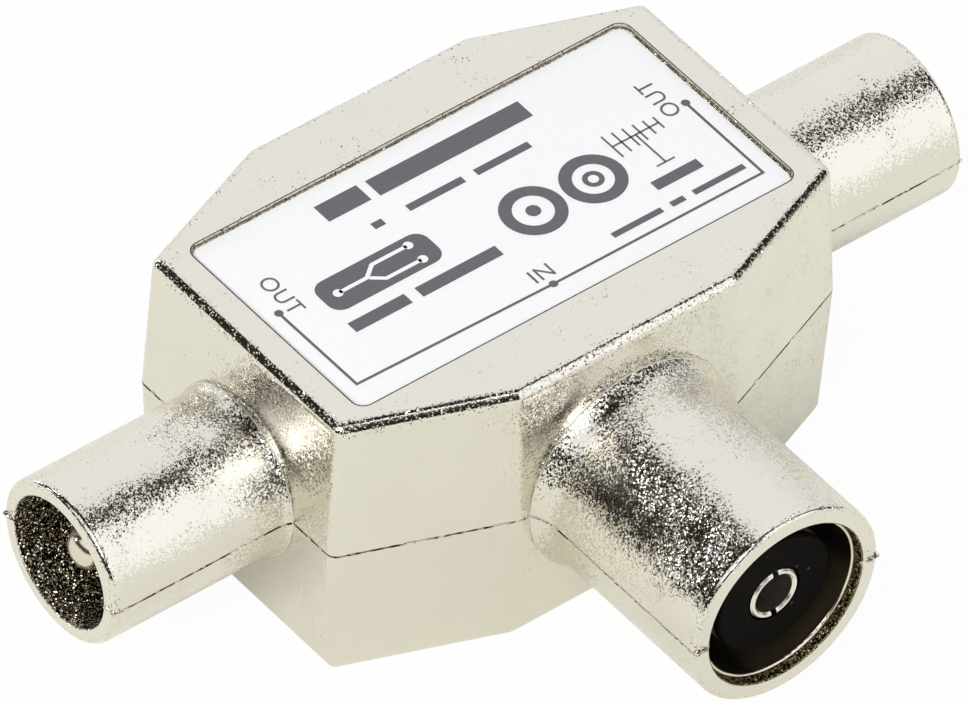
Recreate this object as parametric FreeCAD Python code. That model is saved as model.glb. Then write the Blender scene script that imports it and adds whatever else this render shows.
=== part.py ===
import FreeCAD, Part
import math
import os

# Two-way coaxial splitter in a nickel-plated zinc housing, in millimetres.
# The housing is two cast halves that meet on the plane through all three port axes. One slotted
# input port points to -Y, and two pin output ports point to -X and +X.
# +Z is up, and the origin is the centre of the underside.
# Each piece is first made with the port axes at z = 0, and is lifted to its place as it is written.

Vector = FreeCAD.Vector

# Housing, measured on the parting plane
BODY_LENGTH = 33.6          # X, between the end faces
BODY_WIDTH = 23.8           # Y, between the front and back faces
END_FACE_WIDTH = 16.4       # Y, flat part of each end face
FRONT_FACE_LENGTH = 14.4    # X, flat part of the front and back faces
HALF_HEIGHT = 8.9           # Z, each half from the parting plane to its flat
CAST_DRAFT = 0.4            # each side leans in by this over the height of a half
EDGE_ROUNDING = 0.65
SIDE_WALL = 2.0
TOP_WALL = 2.0
INNER_CORNER = 0.8
SEAM_WIDTH = 0.09           # groove where the halves meet
SEAM_DEPTH = 0.1

# Recess for the label
RECESS_LENGTH = 29.0
RECESS_WIDTH = 14.8
RECESS_DEPTH = 0.38
RECESS_CORNER = 0.7
LABEL_THICKNESS = 0.1
LABEL_CLEARANCE = 0.12

# Output ports, plug type: a 9.5 mm tube round a 2.4 mm pin
OUTPUT_REACH = 11.5         # from the end face to the mouth
OUTPUT_TUBE_RADIUS = 4.75
OUTPUT_BORE_RADIUS = 3.82
OUTPUT_RIM_ROUNDING = 0.35
OUTPUT_FLARE = 0.2          # how much wider the tube is at its root
OUTPUT_FLARE_LENGTH = 0.9
OUTPUT_WEB = 1.2            # metal between the insulator's seat and the end face
OUTPUT_SEAT_RADIUS = 4.9
OUTPUT_SEAT_LENGTH = 2.4
OUTPUT_LIP_RADIUS = 3.2
OUTPUT_LIP_LENGTH = 0.8
OUTPUT_BOSS_RADIUS = 6.2
OUTPUT_NOSE_LENGTH = 1.2    # of the insulator, into the bore
PIN_RADIUS = 1.2
PIN_SETBACK = 1.0           # from the mouth to the tip
PIN_TIP_ROUNDING = 0.9
PIN_SHANK_RADIUS = 1.0      # inside the insulator
PIN_COLLAR_RADIUS = 1.9     # grips the insulator
PIN_COLLAR_LENGTH = 0.8

# Input port, socket type: takes a 9.5 mm tube and a 2.4 mm pin
INPUT_REACH = 13.0          # from the front face to the mouth
INPUT_TUBE_RADIUS = 6.1
INPUT_RIM_ROUNDING = 0.25
INPUT_FLARE = 0.5
INPUT_FLARE_LENGTH = 1.7
INPUT_BORE_RADIUS = 4.8     # inside the sleeve
INPUT_LIP_RADIUS = 3.4
INPUT_LIP_LENGTH = 1.2
INPUT_FLANGE_LENGTH = 2.2   # of the insulator, behind the sleeve
SLEEVE_THICKNESS = 0.25
SLEEVE_SETBACK = 0.54
HUB_RADIUS = 3.7            # of the insulator, inside the plug's tube
HUB_SETBACK = 1.0
CONTACT_RADIUS = 1.56
CONTACT_BORE_RADIUS = 1.22
CONTACT_BORE_DEPTH = 9.0
CONTACT_CONE_DEPTH = 0.5
CONTACT_PROUD = 0.08        # beyond the insulator's hub
CONTACT_EDGE = 0.1
CONTACT_SLIT_WIDTH = 0.36
CONTACT_SLIT_LENGTH = 6.0
CONTACT_FREE_ROOM = 0.15    # round the slotted stretch, so that its halves can spring
CONTACT_ROOT = 0.6          # from the lip to where the contact grows from its tail

# Both kinds of port
BORE_CHAMFER = 0.06
HUB_CHAMFER = 0.12
FIT_CLEARANCE = 0.02        # radial, between seated round pieces

# Pegs that hold the halves together
CORNER_BOSS_RADIUS = 2.0
CORNER_BOSS_FROM_END = 5.2      # from the end face to the boss's centre
CORNER_BOSS_FROM_FRONT = 5.0    # from the front or back face to it
PEG_RADIUS = 0.9
PEG_LENGTH = 3.0
PEG_CHAMFER = 0.2
PEG_SOCKET_SPARE = 0.3

# Board, which hangs on the three tails that are soldered to it
BOARD_THICKNESS = 1.0
BOARD_CLEARANCE = 0.3
COPPER_THICKNESS = 0.05
TRACK_WIDTH = 0.8
TAIL_RADIUS = 0.6
INPUT_TAIL_LENGTH = 2.4     # on the board
OUTPUT_TAIL_LENGTH = 2.6
SOLDER_LENGTH = 1.6
SOLDER_FOOT = 1.3           # half of the width at the board
SOLDER_CREST = 0.45         # half of the width at the top
SOLDER_COVER = 0.1          # over and under the tail

# Transformers
CORE_WIDTH = 6.0
CORE_HEIGHT = 3.4
CORE_LENGTH = 4.0
CORE_HOLE_RADIUS = 0.75
CORE_HOLE_PITCH = 2.8
MATCHING_CORE_INSET = 7.0   # from the inside of the front wall to its middle
SPLITTING_CORE_INSET = 4.9  # from the inside of the back wall to its middle
WIRE_RADIUS = 0.15
WIRE_PITCH = 0.36
WIRE_TURNS = 3
WIRE_STAND_OFF = 0.02       # between the core's end and the wire across it
LEAD_REACH = 1.7            # from the core to where the leads go down
TAP_REACH = 1.4             # from the core to where the tap goes down
ROUND_CORNERS = 2           # makePipeShell's number for balls at the bends

# Chips
CHIP_LENGTH = 2.0
CHIP_WIDTH = 1.25
CHIP_HEIGHT = 0.6
CHIP_END = 0.4
CHIP_END_PROUD = 0.03

# Worked out from the above
HALF_LENGTH = BODY_LENGTH / 2
HALF_WIDTH = BODY_WIDTH / 2
CAVITY_HEIGHT = HALF_HEIGHT - TOP_WALL
OUTPUT_MOUTH = HALF_LENGTH + OUTPUT_REACH
OUTPUT_SEAT_END = HALF_LENGTH - OUTPUT_WEB
OUTPUT_SEAT_START = OUTPUT_SEAT_END - OUTPUT_SEAT_LENGTH
OUTPUT_INNER_END = OUTPUT_SEAT_START - OUTPUT_LIP_LENGTH
INPUT_MOUTH = HALF_WIDTH + INPUT_REACH
INPUT_CAST_RADIUS = INPUT_BORE_RADIUS + SLEEVE_THICKNESS + FIT_CLEARANCE
INPUT_INNER_END = HALF_WIDTH - SIDE_WALL
INPUT_SEAT_START = INPUT_INNER_END + INPUT_LIP_LENGTH
INPUT_FLANGE_END = INPUT_SEAT_START + INPUT_FLANGE_LENGTH
HUB_END = INPUT_MOUTH - HUB_SETBACK
CONTACT_END = HUB_END + CONTACT_PROUD
CONTACT_START = INPUT_SEAT_START + CONTACT_ROOT
CORNER_BOSS_X = HALF_LENGTH - CORNER_BOSS_FROM_END
CORNER_BOSS_Y = HALF_WIDTH - CORNER_BOSS_FROM_FRONT
COPPER_TOP = -TAIL_RADIUS - SOLDER_COVER
BOARD_TOP = COPPER_TOP - COPPER_THICKNESS
BOARD_BOTTOM = BOARD_TOP - BOARD_THICKNESS
MATCHING_CORE_Y = MATCHING_CORE_INSET - INPUT_INNER_END
SPLITTING_CORE_Y = INPUT_INNER_END - SPLITTING_CORE_INSET
WIRE_X = CORE_HOLE_PITCH / 2
SPAN = 2 * (OUTPUT_MOUTH + INPUT_MOUTH)

# Turns about Z that take a port made along +X to its place
RIGHT, LEFT, FRONT = 0, 180, -90
OUTPUTS = {"left": LEFT, "right": RIGHT}


# Helpers

def turned(shape, degrees):
    """The shape, turned about the Z axis."""
    copy = shape.copy()
    copy.rotate(Vector(0, 0, 0), Vector(0, 0, 1), degrees)
    return copy


def box(x_from, y_from, z_from, x_to, y_to, z_to):
    """A block between two opposite corners."""
    corner = Vector(min(x_from, x_to), min(y_from, y_to), min(z_from, z_to))
    return Part.makeBox(abs(x_to - x_from), abs(y_to - y_from), abs(z_to - z_from), corner)


def line(start, end):
    """A straight edge."""
    return Part.LineSegment(start, end).toShape()


def upright(point):
    """The place in the XZ plane of an (a, b) point."""
    return Vector(point[0], 0, point[1])


def flat_face(points):
    """A face in the XZ plane, inside (a, b) points. A (via, end) pair is an arc to its end."""
    here = points[0]
    edges = []
    for move in points[1:] + points[:1]:
        if isinstance(move[0], tuple):
            via, there = move
            edges.append(Part.Arc(upright(here), upright(via), upright(there)).toShape())
        else:
            there = move
            if there != here:
                edges.append(line(upright(here), upright(there)))
        here = there
    return Part.Face(Part.Wire(edges))


def turned_solid(points):
    """A solid of revolution about X, from its outline as (along, radius) points."""
    return flat_face(points).revolve(Vector(0, 0, 0), Vector(1, 0, 0), 360)


def rod(radius, start, end):
    """A plain cylinder along X."""
    return Part.makeCylinder(radius, end - start, Vector(start, 0, 0), Vector(1, 0, 0))


def arc_between(start, centre, end):
    """The (via, end) pair of the arc round a centre, by its shorter way."""
    radius = math.hypot(start[0] - centre[0], start[1] - centre[1])
    middle = ((start[0] + end[0]) / 2 - centre[0], (start[1] + end[1]) / 2 - centre[1])
    scale = radius / math.hypot(*middle)
    return (centre[0] + middle[0] * scale, centre[1] + middle[1] * scale), end


def rising_edges(solid):
    """The edges that join the solid's bottom to its top."""
    low, high = solid.BoundBox.ZMin, solid.BoundBox.ZMax
    middle = (low + high) / 2
    return [edge for edge in solid.Edges if edge.BoundBox.ZMin < middle < edge.BoundBox.ZMax]


def upright_cylinder(radius, x, y, low_z, high_z):
    """A plain cylinder along Z."""
    return Part.makeCylinder(radius, high_z - low_z, Vector(x, y, low_z))


def boss_places():
    """Centres of the four bosses that hold the pegs."""
    return [(sx * CORNER_BOSS_X, sy * CORNER_BOSS_Y) for sx in (-1, 1) for sy in (-1, 1)]


# Housing

def outline(inset, z):
    """The eight corners of the plan at one level, with every side moved in by the inset."""
    run = HALF_LENGTH - FRONT_FACE_LENGTH / 2
    rise = HALF_WIDTH - END_FACE_WIDTH / 2
    slant = math.hypot(run, rise)
    normal_x, normal_y = rise / slant, run / slant
    reach = normal_x * HALF_LENGTH + normal_y * END_FACE_WIDTH / 2 - inset
    x, y = HALF_LENGTH - inset, HALF_WIDTH - inset
    end_y = (reach - normal_x * x) / normal_y
    front_x = (reach - normal_y * y) / normal_x
    quarter = [(x, end_y), (front_x, y)]
    plan = quarter + [(-a, b) for a, b in reversed(quarter)]
    plan += [(-a, -b) for a, b in plan]
    return [Vector(a, b, z) for a, b in plan]


def tapered_block(low_inset, high_inset, low_z, high_z):
    """A block of flat sides between the outlines at two levels."""
    low, high = outline(low_inset, low_z), outline(high_inset, high_z)
    loops = [low[::-1], high]
    loops += [[low[i - 1], low[i], high[i], high[i - 1]] for i in range(len(low))]
    shell = Part.Shell([Part.Face(Part.makePolygon(loop + loop[:1])) for loop in loops])
    shell.sewShape()
    return Part.Solid(shell)


def half_block():
    """Outside of one half of the body, with its rounded edges."""
    block = tapered_block(0, CAST_DRAFT, 0, HALF_HEIGHT)
    top = [edge for edge in block.Edges if edge.BoundBox.ZMin > HALF_HEIGHT / 2]
    return block.makeFillet(EDGE_ROUNDING, rising_edges(block) + top)


def tube_outline(face, mouth, radius, flare, rounding, inset):
    """Outside of a port's tube as (along, radius) points: flared root, straight tube, rounded rim.

    The flare is (how much wider, how long), and its arc runs out smoothly into the tube.
    """
    wider, length = flare
    start = face - SIDE_WALL / 2
    side = radius - inset
    end = mouth - inset
    root = (face - inset, side + wider)
    root_end = (face - inset + length, side)
    flare_radius = (wider ** 2 + length ** 2) / (2 * wider)
    rim = (end - rounding, side)
    rim_end = (end, side - rounding)
    return [
        (start, 0),
        (start, side + wider),
        root,
        arc_between(root, (root_end[0], side + flare_radius), root_end),
        rim,
        arc_between(rim, (rim[0], rim_end[1]), rim_end),
        (end, 0),
    ]


def at_ports(make, inset=0):
    """What the function makes of each tube's outline, at the three ports."""
    output = make(tube_outline(HALF_LENGTH, OUTPUT_MOUTH, OUTPUT_TUBE_RADIUS,
                               (OUTPUT_FLARE, OUTPUT_FLARE_LENGTH), OUTPUT_RIM_ROUNDING, inset))
    front = make(tube_outline(HALF_WIDTH, INPUT_MOUTH, INPUT_TUBE_RADIUS,
                              (INPUT_FLARE, INPUT_FLARE_LENGTH), INPUT_RIM_ROUNDING, inset))
    return [turned(output, LEFT), turned(output, RIGHT), turned(front, FRONT)]


def bore(inner_end, steps, mouth):
    """Cutter for a stepped bore. Each step is the radius and where it ends."""
    points = [(inner_end - SIDE_WALL, 0)]
    start = inner_end - SIDE_WALL
    for radius, end in steps:
        points += [(start, radius), (end, radius)]
        start = end
    rim = steps[-1][0] + BORE_CHAMFER
    points += [(mouth, rim), (mouth + BORE_CHAMFER, rim), (mouth + BORE_CHAMFER, 0)]
    return turned_solid(points)


def bores():
    """Cutters for the three bores, in place."""
    output = bore(OUTPUT_INNER_END, [
        (OUTPUT_LIP_RADIUS, OUTPUT_SEAT_START),
        (OUTPUT_SEAT_RADIUS, OUTPUT_SEAT_END),
        (OUTPUT_BORE_RADIUS, OUTPUT_MOUTH - BORE_CHAMFER),
    ], OUTPUT_MOUTH)
    front = bore(INPUT_INNER_END, [
        (INPUT_LIP_RADIUS, INPUT_SEAT_START),
        (INPUT_CAST_RADIUS, INPUT_MOUTH - BORE_CHAMFER),
    ], INPUT_MOUTH)
    return [turned(output, LEFT), turned(output, RIGHT), turned(front, FRONT)]


def draft_at(height):
    """How far a cast side has leaned in at a height above the parting plane."""
    return CAST_DRAFT * height / HALF_HEIGHT


def hollow():
    """The room inside one half: a drafted cavity less the bosses that stand in it."""
    room = tapered_block(SIDE_WALL, SIDE_WALL + draft_at(CAVITY_HEIGHT), 0, CAVITY_HEIGHT)
    room = room.makeFillet(INNER_CORNER, rising_edges(room))
    bosses = [upright_cylinder(CORNER_BOSS_RADIUS, x, y, 0, HALF_HEIGHT) for x, y in boss_places()]
    port_boss = rod(OUTPUT_BOSS_RADIUS, OUTPUT_INNER_END, HALF_LENGTH)
    bosses += [turned(port_boss, LEFT), turned(port_boss, RIGHT)]
    return room.cut(bosses)


def section_plate(points):
    """Plate on the parting plane with the outline of a tube cut open along its middle."""
    half = flat_face(points)
    half.rotate(Vector(0, 0, 0), Vector(1, 0, 0), 90)
    half = half.extrude(Vector(0, 0, SEAM_WIDTH))
    return half.fuse(half.mirror(Vector(0, 0, 0), Vector(0, 1, 0)))


def seam():
    """Cutter for the shallow step round the parting plane of one half."""
    slab = box(-SPAN, -SPAN, 0, SPAN, SPAN, SEAM_WIDTH / 2)
    middle = tapered_block(SEAM_DEPTH, SEAM_DEPTH, 0, SEAM_WIDTH)
    return slab.cut([middle] + at_ports(section_plate, SEAM_DEPTH))


def half_housing():
    """One half of the housing, from the parting plane up."""
    above = box(-SPAN, -SPAN, 0, SPAN, SPAN, SPAN)
    outside = half_block().fuse([tube.common(above) for tube in at_ports(turned_solid)])
    return outside.cut([hollow(), seam()] + bores()).removeSplitter()


def rounded_plate(length, width, corner, low_z, high_z):
    """A plate with rounded corners, centred in plan."""
    plate = box(-length / 2, -width / 2, low_z, length / 2, width / 2, high_z)
    return plate.makeFillet(corner, rising_edges(plate))


def peg(x, y):
    """A peg that stands down from the parting plane."""
    straight = PEG_LENGTH - PEG_CHAMFER
    shank = upright_cylinder(PEG_RADIUS, x, y, -straight, HALF_HEIGHT / 2)
    tip = Part.makeCone(PEG_RADIUS - PEG_CHAMFER, PEG_RADIUS, PEG_CHAMFER, Vector(x, y, -PEG_LENGTH))
    return shank.fuse(tip)


def upper_shell():
    """Upper half, with the label's recess and the pegs."""
    pegs = [peg(x, y) for x, y in boss_places()]
    floor = HALF_HEIGHT - RECESS_DEPTH
    recess = rounded_plate(RECESS_LENGTH, RECESS_WIDTH, RECESS_CORNER, floor, HALF_HEIGHT + RECESS_DEPTH)
    return half_housing().cut(recess).fuse(pegs).removeSplitter()


def lower_shell():
    """Lower half, with the sockets for the pegs."""
    depth = PEG_LENGTH + PEG_SOCKET_SPARE
    sockets = [upright_cylinder(PEG_RADIUS + FIT_CLEARANCE, x, y, -depth, 0) for x, y in boss_places()]
    half = half_housing().mirror(Vector(0, 0, 0), Vector(0, 0, 1))
    return half.cut(sockets).removeSplitter()


def printed_label():
    """Thin label on the floor of the recess."""
    floor = HALF_HEIGHT - RECESS_DEPTH
    length, width = RECESS_LENGTH - 2 * LABEL_CLEARANCE, RECESS_WIDTH - 2 * LABEL_CLEARANCE
    return rounded_plate(length, width, RECESS_CORNER - LABEL_CLEARANCE, floor, floor + LABEL_THICKNESS)


# Output ports

def output_pin():
    """Pin with a rounded tip, a collared shank in the insulator and a thin tail for the board."""
    tip = OUTPUT_MOUTH - PIN_SETBACK
    shoulder = OUTPUT_SEAT_END + OUTPUT_NOSE_LENGTH
    tail_end = OUTPUT_INNER_END - OUTPUT_TAIL_LENGTH
    collar = (OUTPUT_SEAT_START + OUTPUT_SEAT_END - PIN_COLLAR_LENGTH) / 2
    bend = (tip - PIN_TIP_ROUNDING, PIN_RADIUS)
    bend_end = (tip, PIN_RADIUS - PIN_TIP_ROUNDING)
    return turned_solid([
        (tail_end, 0),
        (tail_end, TAIL_RADIUS),
        (OUTPUT_SEAT_START, TAIL_RADIUS),
        (OUTPUT_SEAT_START, PIN_SHANK_RADIUS),
        (collar, PIN_SHANK_RADIUS),
        (collar, PIN_COLLAR_RADIUS),
        (collar + PIN_COLLAR_LENGTH, PIN_COLLAR_RADIUS),
        (collar + PIN_COLLAR_LENGTH, PIN_SHANK_RADIUS),
        (shoulder, PIN_SHANK_RADIUS),
        (shoulder, PIN_RADIUS),
        bend,
        arc_between(bend, (bend[0], bend_end[1]), bend_end),
        (tip, 0),
    ])


def output_insulator():
    """Disc moulded round the pin's collar, with a nose that centres it in the bore."""
    disc = rod(OUTPUT_SEAT_RADIUS - FIT_CLEARANCE, OUTPUT_SEAT_START, OUTPUT_SEAT_END)
    nose = rod(OUTPUT_BORE_RADIUS - FIT_CLEARANCE, OUTPUT_SEAT_END, OUTPUT_SEAT_END + OUTPUT_NOSE_LENGTH)
    return disc.fuse(nose).cut(output_pin())


# Input port

def input_sleeve():
    """Thin sleeve that lines the input's bore, with a rounded front edge."""
    inner, outer = INPUT_BORE_RADIUS, INPUT_BORE_RADIUS + SLEEVE_THICKNESS
    end = INPUT_MOUTH - SLEEVE_SETBACK
    edge = end - SLEEVE_THICKNESS / 2
    return turned_solid([
        (INPUT_FLANGE_END, inner),
        (INPUT_FLANGE_END, outer),
        (edge, outer),
        ((end, (inner + outer) / 2), (edge, inner)),
    ])


def input_contact():
    """Tube that takes the plug's pin, with a slit across its front and a tail for the board."""
    tail_end = INPUT_INNER_END - INPUT_TAIL_LENGTH
    bore_end = CONTACT_END - CONTACT_BORE_DEPTH
    shape = turned_solid([
        (tail_end, 0),
        (tail_end, TAIL_RADIUS),
        (CONTACT_START, TAIL_RADIUS),
        (CONTACT_START, CONTACT_RADIUS),
        (CONTACT_END - CONTACT_EDGE, CONTACT_RADIUS),
        (CONTACT_END, CONTACT_RADIUS - CONTACT_EDGE),
        (CONTACT_END, CONTACT_BORE_RADIUS + CONTACT_EDGE),
        (CONTACT_END - CONTACT_EDGE, CONTACT_BORE_RADIUS),
        (bore_end, CONTACT_BORE_RADIUS),
        (bore_end - CONTACT_CONE_DEPTH, 0),
    ])
    half_slit = CONTACT_SLIT_WIDTH / 2
    slit = box(CONTACT_END - CONTACT_SLIT_LENGTH, -half_slit, -INPUT_TUBE_RADIUS,
               INPUT_MOUTH, half_slit, INPUT_TUBE_RADIUS)
    return turned(shape.cut(slit), FRONT)


def input_insulator():
    """Hub round the contact, with a flange between the sleeve and the housing's lip."""
    free_radius = CONTACT_RADIUS + CONTACT_FREE_ROOM
    hub_edge = HUB_END - HUB_CHAMFER
    shape = turned_solid([
        (INPUT_INNER_END, TAIL_RADIUS),
        (INPUT_INNER_END, INPUT_LIP_RADIUS - FIT_CLEARANCE),
        (INPUT_SEAT_START, INPUT_LIP_RADIUS - FIT_CLEARANCE),
        (INPUT_SEAT_START, INPUT_CAST_RADIUS - FIT_CLEARANCE),
        (INPUT_FLANGE_END, INPUT_CAST_RADIUS - FIT_CLEARANCE),
        (INPUT_FLANGE_END, HUB_RADIUS),
        (hub_edge, HUB_RADIUS),
        (HUB_END, HUB_RADIUS - HUB_CHAMFER),
        (HUB_END, free_radius),
        (CONTACT_END - CONTACT_SLIT_LENGTH, free_radius),
        (CONTACT_END - CONTACT_SLIT_LENGTH, CONTACT_RADIUS),
        (CONTACT_START, CONTACT_RADIUS),
        (CONTACT_START, TAIL_RADIUS),
    ])
    return turned(shape, FRONT)


# Board

def circuit_board():
    """Board cut to the cavity, with notches round the corner bosses."""
    inset = SIDE_WALL + draft_at(-BOARD_BOTTOM) + BOARD_CLEARANCE
    plate = tapered_block(inset, inset, BOARD_BOTTOM, BOARD_TOP)
    end = OUTPUT_INNER_END - BOARD_CLEARANCE
    plate = plate.common(box(-end, -SPAN, BOARD_BOTTOM, end, SPAN, BOARD_TOP))
    radius = CORNER_BOSS_RADIUS + BOARD_CLEARANCE
    notches = [upright_cylinder(radius, x, y, -HALF_HEIGHT, 0) for x, y in boss_places()]
    return plate.cut(notches)


def matching_lead_y():
    """Where the matching transformer's leads meet the board."""
    return MATCHING_CORE_Y - CORE_LENGTH / 2 - LEAD_REACH


def splitting_lead_y():
    """Where the splitting transformer's leads meet the board."""
    return SPLITTING_CORE_Y + CORE_LENGTH / 2 + LEAD_REACH


def tap_ys():
    """Where the middle taps of the two transformers meet the board."""
    reach = CORE_LENGTH / 2 + TAP_REACH
    return MATCHING_CORE_Y + reach, SPLITTING_CORE_Y - reach


def input_chip_place():
    """Centre of the input capacitor."""
    return SOLDER_FOOT + CHIP_LENGTH, SOLDER_LENGTH / 2 - INPUT_INNER_END + BOARD_CLEARANCE


def output_chip_x():
    """Distance of the output capacitors from the middle."""
    return OUTPUT_INNER_END - OUTPUT_TAIL_LENGTH - CHIP_LENGTH


def copper_tracks():
    """Pads and tracks on top of the board."""
    half = TRACK_WIDTH / 2
    chip_x, chip_y = input_chip_place()
    chip_reach = CHIP_LENGTH / 2 - CHIP_END
    lead_y = matching_lead_y()
    tap_from, tap_to = tap_ys()
    out_x = output_chip_x()
    board_end = OUTPUT_INNER_END - BOARD_CLEARANCE
    plans = [
        (-SOLDER_FOOT, BOARD_CLEARANCE + SOLDER_LENGTH / 4 - INPUT_INNER_END,
         SOLDER_FOOT, INPUT_TAIL_LENGTH - INPUT_INNER_END),
        (SOLDER_FOOT, chip_y - half, chip_x - chip_reach, chip_y + half),
        (chip_x + chip_reach, chip_y - half, chip_x + CHIP_LENGTH, lead_y + half),
        (WIRE_X - half, lead_y - half, chip_x + chip_reach, lead_y + half),
        (-WIRE_X - half, lead_y - half, -WIRE_X + half, lead_y + half),
        (-half, tap_from - half, half, tap_to + half),
        (half, tap_from - half, CHIP_LENGTH / 2, tap_from + half),
        (CHIP_LENGTH + chip_reach, tap_from - half, 2 * CHIP_LENGTH, tap_from + half),
    ]
    for side in (-1, 1):
        inner = out_x - chip_reach
        plans += [
            (side * (WIRE_X - half), splitting_lead_y() - half, side * inner, splitting_lead_y() + half),
            (side * (inner - TRACK_WIDTH), -half, side * inner, splitting_lead_y() - half),
            (side * (out_x + chip_reach), -SOLDER_FOOT, side * board_end, SOLDER_FOOT),
        ]
    pads = [box(x0, y0, BOARD_TOP, x1, y1, COPPER_TOP) for x0, y0, x1, y1 in plans]
    return pads[0].fuse(pads[1:]).removeSplitter()


def solder(inner_end, tail_end):
    """Solder all round a tail, as wide as its pad at the foot and closing over the tail."""
    crest_z = TAIL_RADIUS + SOLDER_COVER
    waist = (SOLDER_FOOT + TAIL_RADIUS) / 2 - SOLDER_COVER
    profile = flat_face([
        (-SOLDER_FOOT, COPPER_TOP),
        ((-waist, 0), (-SOLDER_CREST, crest_z)),
        (SOLDER_CREST, crest_z),
        ((waist, 0), (SOLDER_FOOT, COPPER_TOP)),
    ])
    start = (inner_end + tail_end - SOLDER_LENGTH) / 2
    lump = profile.extrude(Vector(0, SOLDER_LENGTH, 0))
    lump = turned(lump, -90)
    lump.translate(Vector(start, 0, 0))
    return lump.cut(rod(TAIL_RADIUS, start - SOLDER_LENGTH, start + 2 * SOLDER_LENGTH))


def chip(x, y, turn=0):
    """Chip on the copper, with its long side along X before it is turned."""
    body = box(CHIP_END - CHIP_LENGTH / 2, CHIP_END_PROUD - CHIP_WIDTH / 2, COPPER_TOP,
               CHIP_LENGTH / 2 - CHIP_END, CHIP_WIDTH / 2 - CHIP_END_PROUD,
               COPPER_TOP + CHIP_HEIGHT - CHIP_END_PROUD)
    ends = [
        box(side * CHIP_LENGTH / 2, -CHIP_WIDTH / 2, COPPER_TOP,
            side * (CHIP_LENGTH / 2 - CHIP_END), CHIP_WIDTH / 2, COPPER_TOP + CHIP_HEIGHT)
        for side in (-1, 1)
    ]
    shape = turned(body.fuse(ends), turn)
    shape.translate(Vector(x, y, 0))
    return shape


# Transformers

def core():
    """Two-hole ferrite core on the board, with its holes along Y."""
    low = BOARD_TOP
    high = BOARD_TOP + CORE_HEIGHT
    middle = (low + high) / 2
    flat = (CORE_WIDTH - CORE_HEIGHT) / 2
    section = flat_face([
        (-flat, low),
        (flat, low),
        ((CORE_WIDTH / 2, middle), (flat, high)),
        (-flat, high),
        ((-CORE_WIDTH / 2, middle), (-flat, low)),
    ])
    block = section.extrude(Vector(0, CORE_LENGTH, 0))
    block.translate(Vector(0, -CORE_LENGTH / 2, 0))
    along = Vector(0, 1, 0)
    starts = [Vector(side * WIRE_X, -CORE_LENGTH / 2, middle) for side in (-1, 1)]
    return block.cut([Part.makeCylinder(CORE_HOLE_RADIUS, CORE_LENGTH, start, along) for start in starts])


def wire_along(points):
    """Round wire along straight runs, with a tight bend at each point between them."""
    start = points[0]
    section = Part.Wire(Part.Circle(start, points[1] - start, WIRE_RADIUS).toShape())
    return Part.makePolygon(points).makePipeShell([section], True, False, ROUND_CORNERS)


def winding():
    """One enamelled wire through both holes, with a tap at the far side of its lowest turn."""
    centre = BOARD_TOP + CORE_HEIGHT / 2
    levels = [centre + (i - (WIRE_TURNS - 1) / 2) * WIRE_PITCH for i in range(WIRE_TURNS)]
    across = CORE_LENGTH / 2 + WIRE_STAND_OFF + WIRE_RADIUS
    lead_y = -CORE_LENGTH / 2 - LEAD_REACH
    tap_y = CORE_LENGTH / 2 + TAP_REACH
    points = [Vector(-WIRE_X, lead_y, COPPER_TOP), Vector(-WIRE_X, lead_y, levels[0])]
    for i, z in enumerate(levels):
        if i > 0:
            points.append(Vector(-WIRE_X, -across, z))
        points += [Vector(-WIRE_X, across, z), Vector(WIRE_X, across, z)]
        if i < WIRE_TURNS - 1:
            points.append(Vector(WIRE_X, -across, z))
    points += [Vector(WIRE_X, lead_y, levels[-1]), Vector(WIRE_X, lead_y, COPPER_TOP)]
    tap = wire_along([Vector(0, across, levels[0]), Vector(0, tap_y, levels[0]), Vector(0, tap_y, COPPER_TOP)])
    return wire_along(points).fuse(tap)


def placed_core(shape, y, degrees):
    """A transformer's piece, turned and moved to its place on the board."""
    copy = turned(shape, degrees)
    copy.translate(Vector(0, y, 0))
    return copy


# Pieces by name

def pieces():
    """Every piece of the splitter, by name."""
    chip_x, chip_y = input_chip_place()
    tap_y = tap_ys()[0]
    input_solder = solder(INPUT_INNER_END - BOARD_CLEARANCE, INPUT_INNER_END - INPUT_TAIL_LENGTH)
    output_solder = solder(OUTPUT_INNER_END - BOARD_CLEARANCE, OUTPUT_INNER_END - OUTPUT_TAIL_LENGTH)
    found = {
        "upper_shell": upper_shell(),
        "lower_shell": lower_shell(),
        "printed_label": printed_label(),
        "input_sleeve": turned(input_sleeve(), FRONT),
        "input_insulator": input_insulator(),
        "input_contact": input_contact(),
        "circuit_board": circuit_board(),
        "copper_tracks": copper_tracks(),
        "matching_core": placed_core(core(), MATCHING_CORE_Y, 0),
        "matching_winding": placed_core(winding(), MATCHING_CORE_Y, 0),
        "splitting_core": placed_core(core(), SPLITTING_CORE_Y, 180),
        "splitting_winding": placed_core(winding(), SPLITTING_CORE_Y, 180),
        "isolation_resistor": chip(0, splitting_lead_y()),
        "input_capacitor": chip(chip_x, chip_y),
        "compensation_capacitor": chip(1.5 * CHIP_LENGTH, tap_y),
        "input_solder": turned(input_solder, FRONT),
    }
    for name, side in OUTPUTS.items():
        sign = math.cos(math.radians(side))
        found[name + "_output_insulator"] = turned(output_insulator(), side)
        found[name + "_output_pin"] = turned(output_pin(), side)
        found[name + "_output_capacitor"] = chip(sign * output_chip_x(), 0)
        found[name + "_output_solder"] = turned(output_solder, side)
    return found


def main():
    os.makedirs("parts", exist_ok=True)
    for name, shape in pieces().items():
        shape.translate(Vector(0, 0, HALF_HEIGHT))
        shape.exportStep("parts/" + name + ".step")
        print(name, "solids", len(shape.Solids), "valid", shape.isValid(), "volume", round(shape.Volume, 2))


main()
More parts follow.
